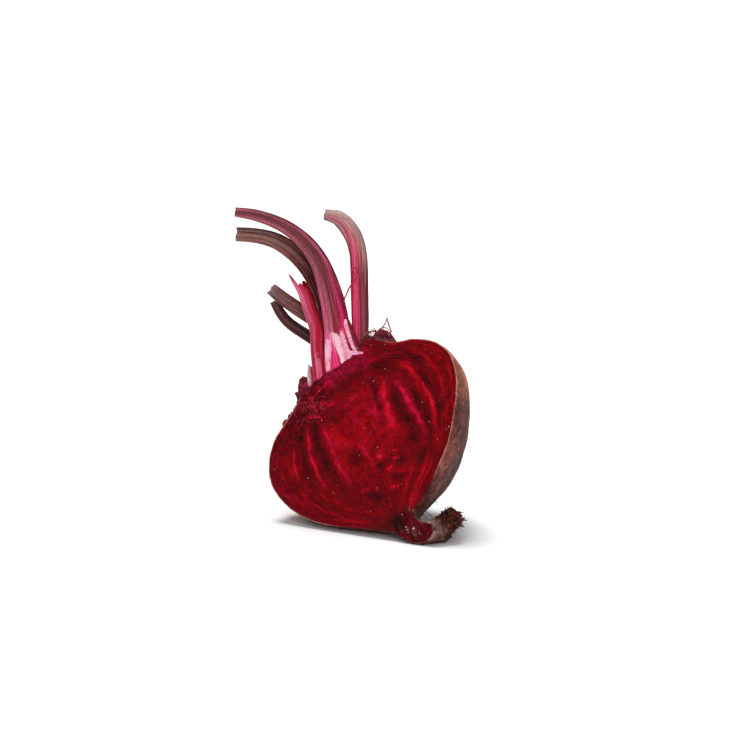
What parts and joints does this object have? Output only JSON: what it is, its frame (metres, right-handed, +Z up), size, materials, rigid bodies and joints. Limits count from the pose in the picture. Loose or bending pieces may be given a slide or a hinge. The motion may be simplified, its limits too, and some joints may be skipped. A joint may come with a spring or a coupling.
{
  "type": "beetroot half",
  "caption": "Half of a beetroot with its crown, cut leaf stalks and taproot stub, resting on its round side with the cut face forward.",
  "frame": {"origin": "centre of the bounding box, on the surface that the half rests on", "axes": "+Z up, -Y towards the side that the cut face looks to, +X to the right of someone who looks along +Y"},
  "size_m": [0.0892, 0.08, 0.1144],
  "materials": {
    "skin": "matte",
    "flesh": "satin",
    "stalk": "satin",
    "bright_stalk": "satin",
    "dark_stalk": "satin",
    "pale_stalk": "satin"
  },
  "bodies": {
    "root": {"root": "skin", "petiole_long_upper": "stalk", "petiole_long_lower": "dark_stalk", "petiole_broken": "bright_stalk", "petiole_right": "stalk", "petiole_bent_upper": "dark_stalk", "petiole_bent_lower": "dark_stalk", "petiole_stub": "pale_stalk"}
  },
  "joints": []
}
